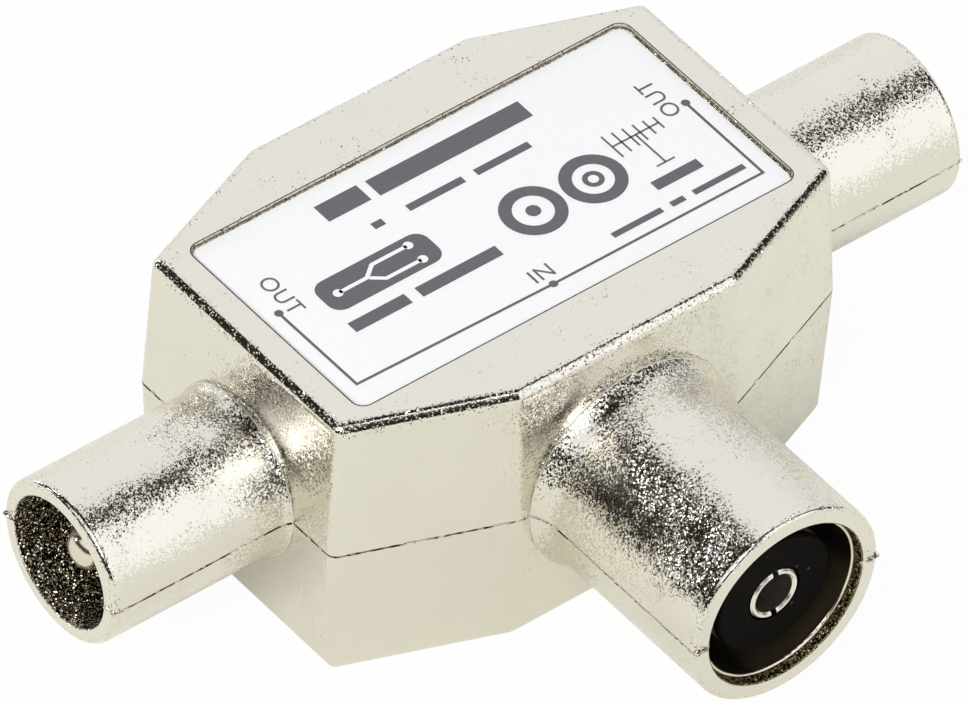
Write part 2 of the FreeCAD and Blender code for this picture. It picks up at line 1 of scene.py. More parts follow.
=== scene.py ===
# %% [markdown]
# A coaxial splitter on a white studio table.
#
# The splitter is a small block of plated zinc with three round ports and a printed label.
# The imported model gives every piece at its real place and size, in metres, with +Z up and the
# underside at z = 0. This lesson adds the camera, the light, the finishes, the fine traces of
# the casting and the print. Loading the model first fixes every measure that follows.

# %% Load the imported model
import math
import random

import bmesh
import bpy
from mathutils import Matrix, Vector, noise


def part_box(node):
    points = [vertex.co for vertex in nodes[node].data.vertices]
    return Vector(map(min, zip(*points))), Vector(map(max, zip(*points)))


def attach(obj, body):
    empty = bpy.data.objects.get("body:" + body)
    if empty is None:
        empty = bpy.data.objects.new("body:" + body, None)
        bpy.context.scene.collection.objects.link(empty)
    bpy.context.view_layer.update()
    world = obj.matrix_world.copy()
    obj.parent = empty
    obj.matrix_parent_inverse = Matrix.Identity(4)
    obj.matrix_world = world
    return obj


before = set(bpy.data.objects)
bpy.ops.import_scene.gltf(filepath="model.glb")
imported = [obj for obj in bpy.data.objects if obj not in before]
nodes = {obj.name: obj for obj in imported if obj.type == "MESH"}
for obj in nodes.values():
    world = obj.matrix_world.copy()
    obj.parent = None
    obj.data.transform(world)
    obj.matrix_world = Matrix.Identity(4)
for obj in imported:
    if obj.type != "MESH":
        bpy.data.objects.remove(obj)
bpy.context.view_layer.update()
scene = bpy.context.scene
MM = 0.001
print("pieces in the model:", len(nodes))

# %% [markdown]
# The ports set all other places. Their three axes cross at one height, and the label lies in
# a shallow recess on top, so both heights are read from the model and not typed in.

# %% Measure the splitter
body_low, body_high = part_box("upper_shell")
axis_height = sum(corner.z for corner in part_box("input_contact")) / 2
label_low, label_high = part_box("printed_label")
mouth_x = body_high.x
mouth_y = body_low.y
print("port axes at", round(axis_height / MM, 2), "mm")
print("label at", round(label_high.z / MM, 2), "mm")

# %% [markdown]
# Colours are written as the sRGB hex values that a colour picker shows. Blender's shaders
# work with linear light, so one function turns the first into the second.

# %% Colour from a hex value
def linear(code):
    """Linear RGBA of an sRGB hex value such as D8D2C0."""
    shares = [int(code[i:i + 2], 16) / 255 for i in (0, 2, 4)]
    lit = [s / 12.92 if s <= 0.04045 else ((s + 0.055) / 1.055) ** 2.4 for s in shares]
    return (*lit, 1)


print("mid grey is", [round(share, 3) for share in linear("808080")])

# %% [markdown]
# A shader is a tree of nodes. One small function adds a node with its settings, the values of
# its sockets and the links into them, so that each finish below reads as a short recipe.

# %% Add one node
def add(tree, kind, values=None, links=None, **settings):
    """A new node, with values for sockets and outputs linked into sockets."""
    node = tree.nodes.new(kind)
    for name, value in settings.items():
        setattr(node, name, value)
    for socket, value in (values or {}).items():
        node.inputs[socket].default_value = value
    for socket, output in (links or {}).items():
        tree.links.new(output, node.inputs[socket])
    return node


print("a node takes values, links and settings")

# %% [markdown]
# The camera is a long lens from the front left and well above, as for a catalogue picture.
# A long lens keeps the far port almost as large as the near one. Its turn and tilt are given
# as angles, from which the three axes of the camera follow.

# %% Camera
CAMERA_TURN = math.radians(-39.572)
CAMERA_TILT = math.radians(44.467)
CAMERA_ROLL = math.radians(2.008)
CAMERA_DISTANCE = 892.477 * MM
CAMERA_ASIDE = Vector((-0.237 * MM, -0.938 * MM))
SENSOR_WIDTH = 36.0
LENS = 632.2
FARTHEST_SEEN = 20

back = Vector((math.sin(CAMERA_TURN) * math.cos(CAMERA_TILT),
               -math.cos(CAMERA_TURN) * math.cos(CAMERA_TILT),
               math.sin(CAMERA_TILT)))
level = Vector((math.cos(CAMERA_TURN), math.sin(CAMERA_TURN), 0))
roll = Matrix.Rotation(CAMERA_ROLL, 3, back)
across = roll @ level
upward = roll @ back.cross(level)
aim = Vector((0, 0, axis_height))
camera_place = aim + back * CAMERA_DISTANCE
camera_place = camera_place + across * CAMERA_ASIDE.x + upward * CAMERA_ASIDE.y

camera = bpy.data.objects.new("camera", bpy.data.cameras.new("camera"))
camera.data.sensor_width = SENSOR_WIDTH
camera.data.lens = LENS
camera.data.clip_end = FARTHEST_SEEN
axes = Matrix((across, upward, back)).transposed().to_4x4()
camera.matrix_world = Matrix.Translation(camera_place) @ axes
scene.collection.objects.link(camera)
scene.camera = camera
scene.view_settings.view_transform = "Standard"
print("camera at", [round(value, 3) for value in camera_place])

# %% [markdown]
# Metal shows the room more than its own colour. This room is a studio for small metal goods: a
# bright paper backdrop behind the right side, softboxes at the front and at the left, and
# darkness elsewhere. The dark parts draw the edges. They are a warm brown, while the lit parts
# are neutral, as plating looks yellower where little light reaches it. Three small lamps in the
# dark end let rough metal glitter. The world holds all of it as soft patches of light, each
# placed by its direction. The camera sees plain white instead, through Is Camera Ray.

# %% Studio room
def patch(tree, turn, tilt, place, half_size, softness, strength):
    """Light of one soft-edged patch of the room. The place is its turn and tilt in degrees."""
    off_turn = add(tree, "ShaderNodeMath", {1: place[0]}, {0: turn}, operation="SUBTRACT")
    off_turn = add(tree, "ShaderNodeMath", {1: 180, 2: -180}, {0: off_turn.outputs[0]},
                   operation="WRAP")
    off_tilt = add(tree, "ShaderNodeMath", {1: place[1]}, {0: tilt}, operation="SUBTRACT")
    shares = []
    for off, half in ((off_turn, half_size[0]), (off_tilt, half_size[1])):
        size = add(tree, "ShaderNodeMath", None, {0: off.outputs[0]}, operation="ABSOLUTE")
        edge = {"From Min": half - softness, "From Max": half + softness, "To Min": 1, "To Max": 0}
        shares.append(add(tree, "ShaderNodeMapRange", edge, {"Value": size.outputs[0]},
                          interpolation_type="SMOOTHSTEP"))
    both = add(tree, "ShaderNodeMath", None, {0: shares[0].outputs[0], 1: shares[1].outputs[0]},
               operation="MULTIPLY")
    shown = add(tree, "ShaderNodeMath", {1: strength}, {0: both.outputs[0]}, operation="MULTIPLY")
    return shown.outputs[0]


ROOM_LIGHT = 0.0235
NEUTRAL_LIGHT = 0.3
DARK_TINT, LIT_TINT = "FFDCBC", "F8FAFF"
PATCHES = (
    # turn and tilt, half of its size, softness, strength
    ((51, 28), (54, 44), 4, 1.06),      # paper backdrop behind the right side
    ((22, 4), (18, 26), 10, -0.13),     # its less bright end
    ((-60, 24), (27, 37), 5, 1.3),      # softbox at the front
    ((-86, 64), (6, 5), 3, 2.0),        # top lamp's reflector
    ((-160, 45), (48, 19), 5, 1.12),    # softbox at the left
    ((-130, 43), (20, 15), 7, 2.2),     # its bright middle
    ((0, -50), (181, 47), 3, 0.88),     # table, where the floor ends
    ((117, 35), (2.4, 2.4), 1, 22),     # lamps in the dark end of the room
    ((132, 13), (2.4, 2.4), 1, 22),
    ((104, 6), (2.2, 2.2), 1, 18),
)

world = bpy.data.worlds.new("studio_room")
scene.world = world
world.use_nodes = True
room = world.node_tree
room.nodes.clear()
ray = add(room, "ShaderNodeTexCoord")
parts = add(room, "ShaderNodeSeparateXYZ", None, {"Vector": ray.outputs["Generated"]})
turn = add(room, "ShaderNodeMath", None, {0: parts.outputs["Y"], 1: parts.outputs["X"]},
           operation="ARCTAN2")
turn = add(room, "ShaderNodeMath", None, {0: turn.outputs[0]}, operation="DEGREES")
tilt = add(room, "ShaderNodeMath", None, {0: parts.outputs["Z"]}, operation="ARCSINE")
tilt = add(room, "ShaderNodeMath", None, {0: tilt.outputs[0]}, operation="DEGREES")
light = add(room, "ShaderNodeMath", {0: ROOM_LIGHT, 1: 0}, operation="ADD").outputs[0]
for place, half_size, softness, strength in PATCHES:
    shown = patch(room, turn.outputs[0], tilt.outputs[0], place, half_size, softness, strength)
    light = add(room, "ShaderNodeMath", None, {0: light, 1: shown}, operation="ADD").outputs[0]
lit_share = add(room, "ShaderNodeMapRange", {"From Min": ROOM_LIGHT, "From Max": NEUTRAL_LIGHT},
                {"Value": light})
tint = add(room, "ShaderNodeMix", {"A": linear(DARK_TINT), "B": linear(LIT_TINT)},
           {"Factor": lit_share.outputs[0]}, data_type="RGBA")
lit_room = add(room, "ShaderNodeBackground", None,
               {"Color": tint.outputs["Result"], "Strength": light})
white = add(room, "ShaderNodeBackground", {"Color": (1, 1, 1, 1), "Strength": 1})
path = add(room, "ShaderNodeLightPath")
seen = add(room, "ShaderNodeMixShader", None,
           {0: path.outputs["Is Camera Ray"], 1: lit_room.outputs[0], 2: white.outputs[0]})
add(room, "ShaderNodeOutputWorld", None, {"Surface": seen.outputs[0]})
print("patches of light in the room:", len(PATCHES))

# %% [markdown]
# One lamp at the left lights the label and the table. It stands low enough for the walls of the
# label's recess to throw a fine shadow. It is a round area lamp, so that its shadow stays soft.
# Mirrored in the plating it would be a hard spot, so the metal sees only the room's soft patches.
# Its power follows from its area and from how bright its face is, so its size can be changed
# alone.

# %% Lamp
LAMP_TURN = math.radians(-158)
LAMP_TILT = math.radians(45)
LAMP_DISTANCE = 0.7
LAMP_WIDTH = 0.26
LAMP_RADIANCE = 16

outward = Vector((math.cos(LAMP_TURN) * math.cos(LAMP_TILT),
                  math.sin(LAMP_TURN) * math.cos(LAMP_TILT),
                  math.sin(LAMP_TILT)))
lamp = bpy.data.lights.new("main_lamp", "AREA")
lamp.shape = "DISK"
lamp.size = LAMP_WIDTH
lamp.energy = LAMP_RADIANCE * math.pi * math.pi * LAMP_WIDTH ** 2 / 4
main_lamp = bpy.data.objects.new("main_lamp", lamp)
main_lamp.location = aim + outward * LAMP_DISTANCE
main_lamp.rotation_euler = outward.to_track_quat("Z", "Y").to_euler()
main_lamp.visible_camera = False
main_lamp.visible_glossy = False
scene.collection.objects.link(main_lamp)
print("main lamp", round(lamp.energy, 2), "W")

# %% [markdown]
# The table is white paper, partly its own light and partly plain matt paper. To the camera it is
# nearly all light, so that it stays white, and what is matt keeps a trace of the splitter's
# shadow. In the metal a fifth of it is light, a little warmer and stronger than white. All other
# rays meet the matt paper, which the lamp and the room light.

# %% Table
TABLE_SIZE = 3.0
OWN_LIGHT = 0.96
MIRRORED_LIGHT = 0.2
MIRRORED_STRENGTH = 1.35

bpy.ops.mesh.primitive_plane_add(size=TABLE_SIZE)
table = bpy.context.object
table.name = "table"
paper = bpy.data.materials.new("white_paper")
paper.use_nodes = True
tree = paper.node_tree
tree.nodes.clear()
matt = add(tree, "ShaderNodeBsdfDiffuse", {"Color": linear("E6E6E0")})
glow = add(tree, "ShaderNodeEmission", {"Color": (1, 1, 1, 1), "Strength": 1})
warm_glow = add(tree, "ShaderNodeEmission",
                {"Color": linear("FDFDF0"), "Strength": MIRRORED_STRENGTH})
path = add(tree, "ShaderNodeLightPath")
own = add(tree, "ShaderNodeMixShader", None,
          {0: path.outputs["Is Glossy Ray"], 1: glow.outputs[0], 2: warm_glow.outputs[0]})
direct = add(tree, "ShaderNodeMath", None,
             {0: path.outputs["Is Camera Ray"], 1: path.outputs["Is Transmission Ray"]},
             operation="MAXIMUM")
direct = add(tree, "ShaderNodeMath", {1: OWN_LIGHT}, {0: direct.outputs[0]},
             operation="MULTIPLY")
share = add(tree, "ShaderNodeMath", {1: MIRRORED_LIGHT},
            {0: path.outputs["Is Glossy Ray"], 2: direct.outputs[0]}, operation="MULTIPLY_ADD")
mixed = add(tree, "ShaderNodeMixShader", None,
            {0: share.outputs[0], 1: matt.outputs[0], 2: own.outputs[0]})
add(tree, "ShaderNodeOutputMaterial", None, {"Surface": mixed.outputs[0]})
table.data.materials.append(paper)
print("table", TABLE_SIZE, "m wide")

# %% [markdown]
# Finishes share three steps: a principled shader with plain numbers, coordinates in
# millimetres, and a bump from a noise whose size is a real one. A finish that only varies
# between two colours is one call of grained_finish.

# %% Shared steps of a finish
def new_finish(name, colour, metallic, roughness):
    """A material with a principled shader, its tree and that shader."""
    material = bpy.data.materials.new(name)
    material.use_nodes = True
    shader = material.node_tree.nodes["Principled BSDF"]
    shader.inputs["Base Color"].default_value = linear(colour)
    shader.inputs["Metallic"].default_value = metallic
    shader.inputs["Roughness"].default_value = roughness
    return material, material.node_tree, shader


def millimetres(tree):
    """Coordinates on the object, in millimetres."""
    place = add(tree, "ShaderNodeTexCoord")
    scaled = add(tree, "ShaderNodeVectorMath", {"Scale": 1 / MM}, {0: place.outputs["Object"]},
                 operation="SCALE")
    return scaled.outputs[0]


def grain(tree, where, size, detail=2.0):
    """Noise whose bumps are about as wide as the size in millimetres."""
    return add(tree, "ShaderNodeTexNoise", {"Scale": 1 / size, "Detail": detail},
               {"Vector": where})


def relief(tree, shader, height, depth):
    """Bump on the shader. The depth in millimetres is that of a height from 0 to 1."""
    bump = add(tree, "ShaderNodeBump", {"Strength": 1, "Distance": depth * MM},
               {"Height": height})
    tree.links.new(bump.outputs[0], shader.inputs["Normal"])
    return bump


def grained_finish(name, dark, pale, metallic, roughness, size, depth):
    """A finish that varies between two colours, with a bump of the same grain."""
    material, tree, shader = new_finish(name, dark, metallic, roughness)
    specks = grain(tree, millimetres(tree), size, 3.0)
    colour = add(tree, "ShaderNodeMix", {"A": linear(dark), "B": linear(pale)},
                 {"Factor": specks.outputs[0]}, data_type="RGBA")
    tree.links.new(colour.outputs["Result"], shader.inputs["Base Color"])
    relief(tree, shader, specks.outputs[0], depth)
    return material


def finish(material, *names):
    """Puts the material on the named pieces of the model."""
    for name in names:
        nodes[name].material_slots[0].material = material


print("shared steps ready")

# %% [markdown]
# The housing is zinc that was pressed into a steel mould and then plated with bright nickel.
# It has zones of its own: the bores of the ports, where the plating is thin and rough and its
# colour is darkened as painted shade, and the rims and the rounding of the top face, which
# handling has rubbed smooth. Each zone is a mask that follows from the place on the metal.

# %% Zones of the housing
OUTPUT_BORE, OUTPUT_BORE_START = 3.86, 17.0
INPUT_BORE, INPUT_BORE_START = 5.14, 13.0
OUTPUT_RIM, INPUT_RIM = 4.4, 5.8
RIM_BAND = 0.4
EDGE_BAND = 0.75
EDGE_LEAN_START, EDGE_LEAN_FULL = 0.995, 0.97


def port_zone(tree, parts, along, aside, start, side, radius):
    """1 in a port past the start and on one side of the radius round its axis, and 0 elsewhere."""
    place = add(tree, "ShaderNodeCombineXYZ", None,
                {"X": parts.outputs[aside], "Z": parts.outputs["Z"]})
    off = add(tree, "ShaderNodeVectorMath", {1: (0, 0, axis_height / MM)},
              {0: place.outputs[0]}, operation="DISTANCE")
    near = add(tree, "ShaderNodeMath", {1: radius}, {0: off.outputs["Value"]}, operation=side)
    out = add(tree, "ShaderNodeMath", None, {0: parts.outputs[along]}, operation="ABSOLUTE")
    out = add(tree, "ShaderNodeMath", {1: start}, {0: out.outputs[0]}, operation="GREATER_THAN")
    return add(tree, "ShaderNodeMath", None, {0: near.outputs[0], 1: out.outputs[0]},
               operation="MULTIPLY")


def bores(tree, parts):
    """Masks of the output bores and of the input bore."""
    return (port_zone(tree, parts, "X", "Y", OUTPUT_BORE_START, "LESS_THAN", OUTPUT_BORE),
            port_zone(tree, parts, "Y", "X", INPUT_BORE_START, "LESS_THAN", INPUT_BORE))


def rubbed_edges(tree, parts):
    """1 on the rounding round the top face and on the outer rounding of each rim."""
    surface = add(tree, "ShaderNodeNewGeometry")
    facing = add(tree, "ShaderNodeSeparateXYZ", None, {0: surface.outputs["Normal"]})
    lean = {"From Min": EDGE_LEAN_START, "From Max": EDGE_LEAN_FULL, "To Min": 0, "To Max": 1}
    slanted = add(tree, "ShaderNodeMapRange", lean, {"Value": facing.outputs["Z"]})
    high = add(tree, "ShaderNodeMath", {1: body_high.z / MM - EDGE_BAND},
               {0: parts.outputs["Z"]}, operation="GREATER_THAN")
    edge = add(tree, "ShaderNodeMath", None, {0: slanted.outputs[0], 1: high.outputs[0]},
               operation="MULTIPLY")
    output_start, input_start = mouth_x / MM - RIM_BAND, -mouth_y / MM - RIM_BAND
    rims = (port_zone(tree, parts, "X", "Y", output_start, "GREATER_THAN", OUTPUT_RIM),
            port_zone(tree, parts, "Y", "X", input_start, "GREATER_THAN", INPUT_RIM))
    for rim in rims:
        edge = add(tree, "ShaderNodeMath", None, {0: edge.outputs[0], 1: rim.outputs[0]},
                   operation="MAXIMUM")
    return edge


print("bores start", OUTPUT_BORE_START, "and", INPUT_BORE_START, "mm from the middle")

# %% [markdown]
# The plate is a pale warm grey that varies a little. It is darker in the bores, most of all in
# the input, which is painted shade, and brown dirt lies in patches in the groove where the two
# halves meet.

# %% Colour of the plate
TINT_SIZE = 4.0
GROOVE_HALF_HEIGHT = 0.085
DIRT_SIZE = 0.5
DIRT_FROM, DIRT_FULL = 0.35, 0.6


def plate_colour(tree, where, parts, in_outputs, in_input):
    """Colour of the plate, with painted shade in the bores and the dirt in the groove."""
    tone = grain(tree, where, TINT_SIZE, 3.0)
    colour = add(tree, "ShaderNodeMix", {"A": linear("DFDACD"), "B": linear("E5E0D4")},
                 {"Factor": tone.outputs[0]}, data_type="RGBA")
    off = add(tree, "ShaderNodeMath", {1: axis_height / MM}, {0: parts.outputs["Z"]},
              operation="SUBTRACT")
    off = add(tree, "ShaderNodeMath", None, {0: off.outputs[0]}, operation="ABSOLUTE")
    in_groove = add(tree, "ShaderNodeMath", {1: GROOVE_HALF_HEIGHT}, {0: off.outputs[0]},
                    operation="LESS_THAN")
    patchy = grain(tree, where, DIRT_SIZE, 4.0)
    patchy = add(tree, "ShaderNodeMapRange", {"From Min": DIRT_FROM, "From Max": DIRT_FULL},
                 {"Value": patchy.outputs[0]})
    dirt = add(tree, "ShaderNodeMath", None, {0: in_groove.outputs[0], 1: patchy.outputs[0]},
               operation="MULTIPLY")
    # The bores are darkened as painted shade; the groove gets patches of dirt.
    for mask, shade in ((in_outputs, "C8C0B0"), (in_input, "8E8468"), (dirt, "6A5638")):
        colour = add(tree, "ShaderNodeMix", {"B": linear(shade)},
                     {"Factor": mask.outputs[0], "A": colour.outputs["Result"]},
                     data_type="RGBA")
    return colour.outputs["Result"]


print("dirt within", GROOVE_HALF_HEIGHT, "mm of the parting plane")

# %% [markdown]
# The plating is thin, so it keeps the mould's fine grain: seen close, the metal is a field of
# tiny facets, each of which catches a lamp or the dark room. The grain is about a tenth of a
# millimetre wide. A soft noise with a few pits gives the slope, and random cells tilt the facets,
# more in some zones than in others and most in the bores. The rubbed edges keep a third of both.
# Only a rare facet leans far there, and it glints.

# %% Facets of the plate
CAST_GRAIN = 0.13
CAST_DEPTH = 0.01
PIT_SPACING = 1.9
PIT_CORE, PIT_EDGE, PIT_HEIGHT = 0.02, 0.05, -2.5
FACET_SIZE = 0.08
FACET_TILT = 0.45
ZONE_SIZE = 2.2
ZONE_CALM, ZONE_COARSE, CALM_SHARE = 0.35, 0.7, 0.4
BORE_TILT = 0.8
EDGE_SHARE = 0.35
GLINT_LIMIT = 0.41
EDGE_GLINT = 1.5


def plate_slope(tree, shader, where, kept):
    """Bump of the soft grain and the pits, weaker where less of it is kept."""
    soft = grain(tree, where, CAST_GRAIN, 3.0)
    pits = add(tree, "ShaderNodeTexVoronoi", {"Scale": 1 / PIT_SPACING}, {"Vector": where})
    bowl = {"From Min": PIT_CORE, "From Max": PIT_EDGE, "To Min": PIT_HEIGHT, "To Max": 0}
    pit = add(tree, "ShaderNodeMapRange", bowl, {"Value": pits.outputs["Distance"]},
              interpolation_type="SMOOTHSTEP")
    height = add(tree, "ShaderNodeMath", None, {0: soft.outputs[0], 1: pit.outputs[0]},
                 operation="ADD")
    bump = relief(tree, shader, height.outputs[0], CAST_DEPTH)
    tree.links.new(kept.outputs[0], bump.inputs["Strength"])
    return bump


def facet_tilt(tree, where, centred, inside, edge, kept):
    """How far the facets lean: by zone, more in the bores, and rarely far on the edges."""
    zone = grain(tree, where, ZONE_SIZE, 1.0)
    coarse = {"From Min": ZONE_CALM, "From Max": ZONE_COARSE,
              "To Min": FACET_TILT * CALM_SHARE, "To Max": FACET_TILT}
    amount = add(tree, "ShaderNodeMapRange", coarse, {"Value": zone.outputs[0]})
    amount = add(tree, "ShaderNodeMath", None, {0: amount.outputs[0], 1: kept.outputs[0]},
                 operation="MULTIPLY")
    lean = add(tree, "ShaderNodeSeparateXYZ", None, {0: centred.outputs[0]})
    lean = add(tree, "ShaderNodeMath", None, {0: lean.outputs["X"]}, operation="ABSOLUTE")
    glint = add(tree, "ShaderNodeMath", {1: GLINT_LIMIT}, {0: lean.outputs[0]},
                operation="GREATER_THAN")
    glint = add(tree, "ShaderNodeMath", None, {0: glint.outputs[0], 1: edge.outputs[0]},
                operation="MULTIPLY")
    amount = add(tree, "ShaderNodeMath", {1: EDGE_GLINT},
                 {0: glint.outputs[0], 2: amount.outputs[0]}, operation="MULTIPLY_ADD")
    return add(tree, "ShaderNodeMath", {1: BORE_TILT},
               {0: inside.outputs[0], 2: amount.outputs[0]}, operation="MULTIPLY_ADD")


def plate_normal(tree, shader, where, inside, edge):
    """The normal of the plate: the slope, with the lean of each facet added."""
    kept = add(tree, "ShaderNodeMapRange", {"To Min": 1, "To Max": EDGE_SHARE},
               {"Value": edge.outputs[0]})
    bump = plate_slope(tree, shader, where, kept)
    facets = add(tree, "ShaderNodeTexVoronoi", {"Scale": 1 / FACET_SIZE}, {"Vector": where})
    centred = add(tree, "ShaderNodeVectorMath", {1: (0.5, 0.5, 0.5)},
                  {0: facets.outputs["Color"]}, operation="SUBTRACT")
    amount = facet_tilt(tree, where, centred, inside, edge, kept)
    tilted = add(tree, "ShaderNodeVectorMath", None,
                 {0: centred.outputs[0], "Scale": amount.outputs[0]}, operation="SCALE")
    summed = add(tree, "ShaderNodeVectorMath", None, {0: bump.outputs[0], 1: tilted.outputs[0]},
                 operation="ADD")
    normal = add(tree, "ShaderNodeVectorMath", None, {0: summed.outputs[0]},
                 operation="NORMALIZE")
    return normal.outputs[0]


print("cast grain", CAST_GRAIN, "mm, facets", FACET_SIZE, "mm")

# %% [markdown]
# The zones, the colour and the facets come together in one material, which both halves of the
# housing share.

# %% Nickel plate on cast zinc
def cast_plate():
    """Nickel plate on the cast halves, rough inside the ports and darkened there as painted shade.
    """
    material, tree, shader = new_finish("nickel_on_cast_zinc", "E2DDD0", 1.0, 0.11)
    where = millimetres(tree)
    parts = add(tree, "ShaderNodeSeparateXYZ", None, {0: where})
    in_outputs, in_input = bores(tree, parts)
    inside = add(tree, "ShaderNodeMath", None,
                 {0: in_outputs.outputs[0], 1: in_input.outputs[0]}, operation="MAXIMUM")
    edge = rubbed_edges(tree, parts)
    colour = plate_colour(tree, where, parts, in_outputs, in_input)
    tree.links.new(colour, shader.inputs["Base Color"])
    normal = plate_normal(tree, shader, where, inside, edge)
    tree.links.new(normal, shader.inputs["Normal"])
    return material


nickel_on_zinc = cast_plate()
finish(nickel_on_zinc, "upper_shell", "lower_shell")
print("the plate has", len(nickel_on_zinc.node_tree.nodes), "nodes")

# %% [markdown]
# Where a tube's flare meets the flat wall of the body, the mould leaves a fine raised line. It is
# a thin ring, half sunk in the corner. Its finish is paler than the plate, a painted highlight,
# so that it shows as one bright stroke.

# %% Lines round the tubes' flares
CREASE_THICKNESS = 0.045
OUTPUT_WALL, OUTPUT_FLARE = 16.8, 4.94
INPUT_WALL, INPUT_FLARE = 11.9, 6.59
QUARTER_TURN = math.radians(90)
# A paler finish than the plate: a painted highlight.
bright_line = grained_finish("pale_nickel_painted_highlight", "E6E0D2", "F0EBDF", 1.0, 0.4, 0.4, 0.004)


def crease_line(name, centre, radius, turned):
    """A thin ring round a port's axis, riding on the housing."""
    bpy.ops.mesh.primitive_torus_add(location=centre, rotation=turned, major_radius=radius * MM,
                                     minor_radius=CREASE_THICKNESS * MM,
                                     major_segments=120, minor_segments=6)
    ring = bpy.context.object
    ring.name = name
    bpy.ops.object.shade_smooth()
    ring.data.materials.append(bright_line)
    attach(ring, "root")
    print(name, "of", radius, "mm")


for name, x in (("left_crease_line", -OUTPUT_WALL), ("right_crease_line", OUTPUT_WALL)):
    crease_line(name, (x * MM, 0, axis_height), OUTPUT_FLARE, (0, QUARTER_TURN, 0))
crease_line("input_crease_line", (0, -INPUT_WALL * MM, axis_height), INPUT_FLARE,
            (QUARTER_TURN, 0, 0))

# %% [markdown]
# Zinc that was pressed between the halves stays on the parting line as fine flash. It is broken
# into bits when the casting is tumbled. The bits are small uneven lumps, placed by chance along
# the lower lip of the upper half. The lip is found in the model: it is the commonest height of
# the corners just above the parting plane.

# %% Lumps of flash
LIP_FROM, LIP_TO = 0.02, 0.1
SAME_PLACE = 1e-7
SAME_HEIGHT = 0.002
UPRIGHT = 0.9
chance = random.Random(7)


def parting_edges():
    """Ends and outward direction of each edge of the upper half's lip, and the lip's height."""
    shell = bmesh.new()
    shell.from_mesh(nodes["upper_shell"].data)
    shell.transform(nodes["upper_shell"].matrix_world)
    bmesh.ops.remove_doubles(shell, verts=shell.verts, dist=SAME_PLACE)
    heights = [round(v.co.z / MM, 3) for v in shell.verts
               if LIP_FROM * MM < v.co.z - axis_height < LIP_TO * MM]
    lip = max(set(heights), key=heights.count) * MM
    found = []
    for edge in shell.edges:
        if any(abs(v.co.z - lip) > SAME_HEIGHT * MM for v in edge.verts):
            continue
        walls = [f for f in edge.link_faces
                 if abs(f.normal.z) < UPRIGHT and f.calc_center_median().z > lip]
        if walls:
            start, end = edge.verts
            found.append((start.co.copy(), end.co.copy(), walls[0].normal.copy()))
    shell.free()
    return found, lip


def lump(into, place, outward, long, thick):
    """One uneven lump, long across its outward direction."""
    made = bmesh.ops.create_icosphere(into, subdivisions=1, radius=1)["verts"]
    axes = outward.to_track_quat("X", "Z").to_matrix()
    for vert in made:
        uneven = vert.co * chance.uniform(0.7, 1.25)
        vert.co = place + axes @ Vector((uneven.x * thick, uneven.y * long, uneven.z * thick))


def as_piece(made, name, material):
    """The built mesh as one piece that rides on the housing."""
    mesh = bpy.data.meshes.new(name)
    made.to_mesh(mesh)
    made.free()
    mesh.materials.append(material)
    piece = bpy.data.objects.new(name, mesh)
    scene.collection.objects.link(piece)
    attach(piece, "root")
    print(name, "has", len(mesh.polygons), "faces")


lip_edges, lip_height = parting_edges()
print("lip at", round(lip_height / MM, 3), "mm, edges", len(lip_edges))

# %% [markdown]
# A slow noise says where flash is left along the line, so that it comes in stretches with bare
# ones between, and a few stray bits lie in the bare ones.

# %% Flash on the parting line
FLASH_SPACING = 0.12
STRETCH = 2.5
FLASH_FROM = 0.19
STRAY_SHARE = 0.06
FLASH_RISE = (-0.03, 0.05)
FLASH_LONG, FLASH_THICK = (0.08, 0.24), (0.03, 0.07)

flash = bmesh.new()
for start, end, outward in lip_edges:
    length = (end - start).length
    for i in range(int(length / (FLASH_SPACING * MM) + chance.random())):
        place = start.lerp(end, chance.random())
        place.z = axis_height + chance.uniform(*FLASH_RISE) * MM
        left_over = noise.noise(place / (STRETCH * MM)) > FLASH_FROM
        if left_over or chance.random() < STRAY_SHARE:
            lump(flash, place, outward,
                 chance.uniform(*FLASH_LONG) * MM, chance.uniform(*FLASH_THICK) * MM)
# The lumps take the crease lines' paler finish, a painted highlight.
as_piece(flash, "parting_flash", bright_line)

# %% [markdown]
# Where the parting line crosses a rim, the flash is thicker and stands out as a small nub of a
# few lumps, plated like the housing.

# %% Flash on the rims
OUTPUT_RIM_MIDDLE, INPUT_RIM_MIDDLE = 4.3, 5.65
RIM_LUMPS = 5
RIM_SPREAD = 0.33
RIM_RISE = (-0.08, 0.1)
RIM_LONG, RIM_THICK = (0.08, 0.26), (0.08, 0.22)
RIM_PLACES = (
    (-mouth_x, OUTPUT_RIM_MIDDLE * MM), (-mouth_x, -OUTPUT_RIM_MIDDLE * MM),
    (mouth_x, OUTPUT_RIM_MIDDLE * MM), (mouth_x, -OUTPUT_RIM_MIDDLE * MM),
    (-INPUT_RIM_MIDDLE * MM, mouth_y), (INPUT_RIM_MIDDLE * MM, mouth_y),
)

rim_flash = bmesh.new()
for x, y in RIM_PLACES:
    outward = Vector((math.copysign(1, x), 0, 0)) if abs(x) == mouth_x else Vector((0, -1, 0))
    aside = Vector((outward.y, outward.x, 0))
    for i in range(RIM_LUMPS):
        spread = chance.uniform(-RIM_SPREAD, RIM_SPREAD)
        place = Vector((x, y, axis_height)) + aside * spread * MM
        place.z += chance.uniform(*RIM_RISE) * MM
        lump(rim_flash, place, outward,
             chance.uniform(*RIM_LONG) * MM, chance.uniform(*RIM_THICK) * MM)
as_piece(rim_flash, "rim_flash", nickel_on_zinc)

# %% [markdown]
# The pins, the sleeve and the slotted contact were turned or rolled from brass or bronze and
# plated. Such parts are smooth, with fine marks from the tool.

# %% Bright plated turnings
TOOL_MARK_DEPTH = 0.006


def turned_plate(name, colour, roughness, mark):
    """Plated turning with tool marks about as wide as the given millimetres."""
    material, tree, shader = new_finish(name, colour, 1.0, roughness)
    marks = grain(tree, millimetres(tree), mark, 4.0)
    relief(tree, shader, marks.outputs[0], TOOL_MARK_DEPTH)
    return material


